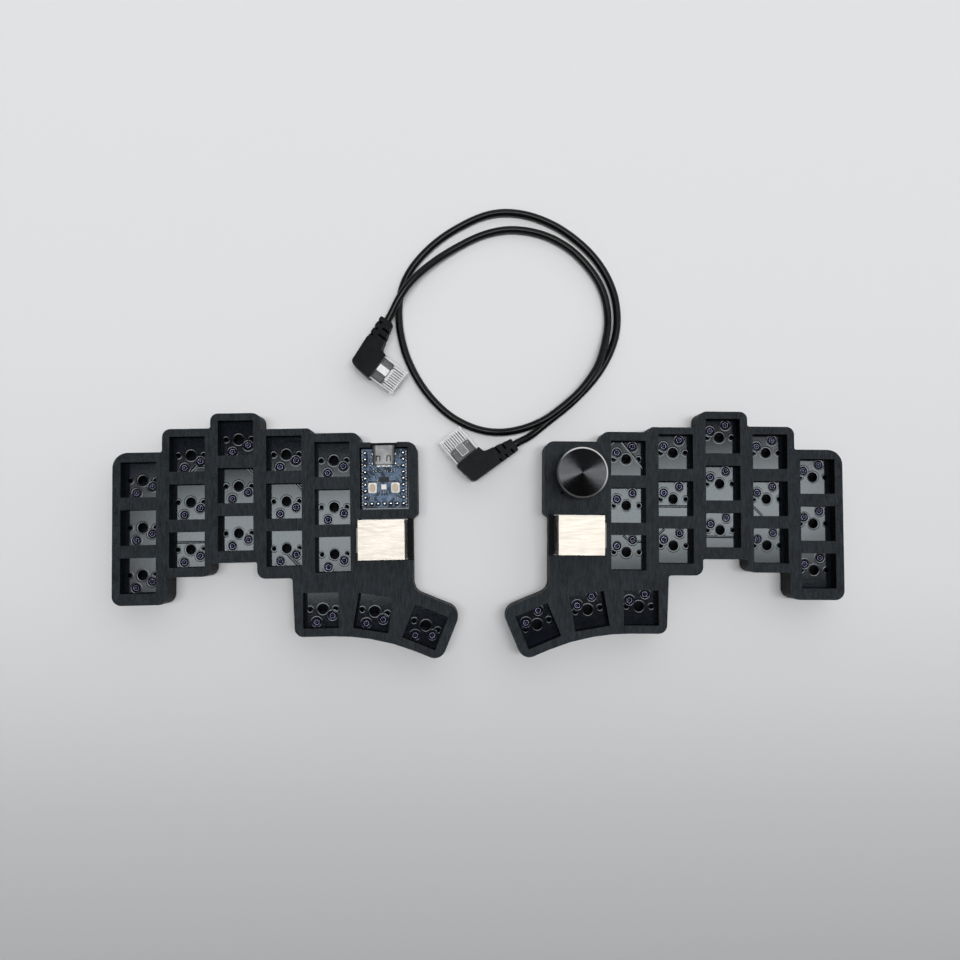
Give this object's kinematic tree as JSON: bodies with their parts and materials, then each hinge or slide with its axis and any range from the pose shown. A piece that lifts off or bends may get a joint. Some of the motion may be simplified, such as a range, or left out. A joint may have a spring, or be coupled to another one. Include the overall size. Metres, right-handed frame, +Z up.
{
  "type": "split keyboard kit",
  "caption": "Split ergonomic keyboard kit: two stepped black halves with open key wells, a controller board, an encoder knob, modular jacks and a looped link cable with angled plugs.",
  "frame": {"origin": "on the table, midway between the halves left to right and front to back", "axes": "+X to the user's right, +Y away from the user, +Z up"},
  "size_m": [0.2924, 0.1849, 0.0246],
  "materials": {
    "case_black": "matte printed plastic",
    "board_black": "glossy solder mask",
    "socket_plastic": "moulded plastic",
    "contact_brass": "plain brass",
    "contact_gold": "gold plated",
    "shield_steel": "tinned steel sheet",
    "housing_black": "moulded plastic",
    "screw_steel": "plain steel",
    "foot_rubber": "soft rubber",
    "board_blue": "blue solder mask",
    "tin": "bright solder",
    "button_beige": "moulded plastic",
    "led_white": "white package",
    "knob_black": "black anodised, spun top",
    "cable_black": "soft moulded plastic",
    "plug_clear": "clear moulded plastic"
  },
  "bodies": {
    "keyboard": {"left_top_case": "case_black", "left_bottom_plate": "case_black", "left_pcb": "board_black", "left_hotswap_sockets": "socket_plastic", "left_socket_contacts": "contact_brass", "left_diodes": "socket_plastic", "left_jack_shield": "shield_steel", "left_jack_housing": "housing_black", "left_jack_contacts": "contact_gold", "left_screws": "screw_steel", "left_inserts": "contact_brass", "left_feet": "foot_rubber", "controller_board": "board_blue", "header_strips": "housing_black", "header_pins": "tin", "usb_shell": "shield_steel", "usb_tongue": "housing_black", "button_frames": "shield_steel", "controller_chip": "socket_plastic", "status_led": "led_white", "right_top_case": "case_black", "right_bottom_plate": "case_black", "right_pcb": "board_black", "right_hotswap_sockets": "socket_plastic", "right_socket_contacts": "contact_brass", "right_diodes": "socket_plastic", "right_jack_shield": "shield_steel", "right_jack_housing": "housing_black", "right_jack_contacts": "contact_gold", "right_screws": "screw_steel", "right_inserts": "contact_brass", "right_feet": "foot_rubber", "port_chip": "socket_plastic", "encoder_housing": "housing_black", "encoder_bracket": "shield_steel", "encoder_bushing": "screw_steel", "encoder_terminals": "tin", "link_cable": "cable_black", "plug_a_boot": "cable_black", "plug_a_body": "plug_clear", "plug_a_contacts": "contact_gold", "plug_b_boot": "cable_black", "plug_b_body": "plug_clear", "plug_b_contacts": "contact_gold"},
    "knob_plunger": {"encoder_plunger": "button_beige"},
    "knob_shaft": {"encoder_shaft": "screw_steel", "knob": "knob_black", "knob_set_screw": "screw_steel"},
    "boot_button": {"boot_button": "button_beige"},
    "reset_button": {"reset_button": "button_beige"},
    "first_latch": {"plug_a_latch": "plug_clear"},
    "second_latch": {"plug_b_latch": "plug_clear"}
  },
  "joints": [
    {"name": "knob_push", "type": "slide", "parent": "keyboard", "child": "knob_plunger", "axis": [0, 0, -1], "range_m": [0, 0.0005], "stiffness_N_per_m": 1000, "springref_m": -0.003},
    {"name": "knob_spin", "type": "hinge", "parent": "knob_plunger", "child": "knob_shaft", "pos_m": [0.03904, 0.0235, 0.0166], "axis": [0, 0, 1], "continuous": true},
    {"name": "boot_button_press", "type": "slide", "parent": "keyboard", "child": "boot_button", "axis": [0, 0, -1], "range_m": [0, 0.00025], "stiffness_N_per_m": 250, "springref_m": -0.004},
    {"name": "reset_button_press", "type": "slide", "parent": "keyboard", "child": "reset_button", "axis": [0, 0, -1], "range_m": [0, 0.00025], "stiffness_N_per_m": 250, "springref_m": -0.004},
    {"name": "plug_a_latch_flex", "type": "hinge", "parent": "keyboard", "child": "first_latch", "pos_m": [-0.0334, 0.06185, 0.0076], "axis": [-0.6004, -0.7997, 0], "range_deg": [0, 9], "stiffness_Nm_per_rad": 0.05},
    {"name": "plug_b_latch_flex", "type": "hinge", "parent": "keyboard", "child": "second_latch", "pos_m": [-0.01216, 0.03948, 0.0076], "axis": [0.7649, 0.6441, 0], "range_deg": [0, 9], "stiffness_Nm_per_rad": 0.05}
  ]
}
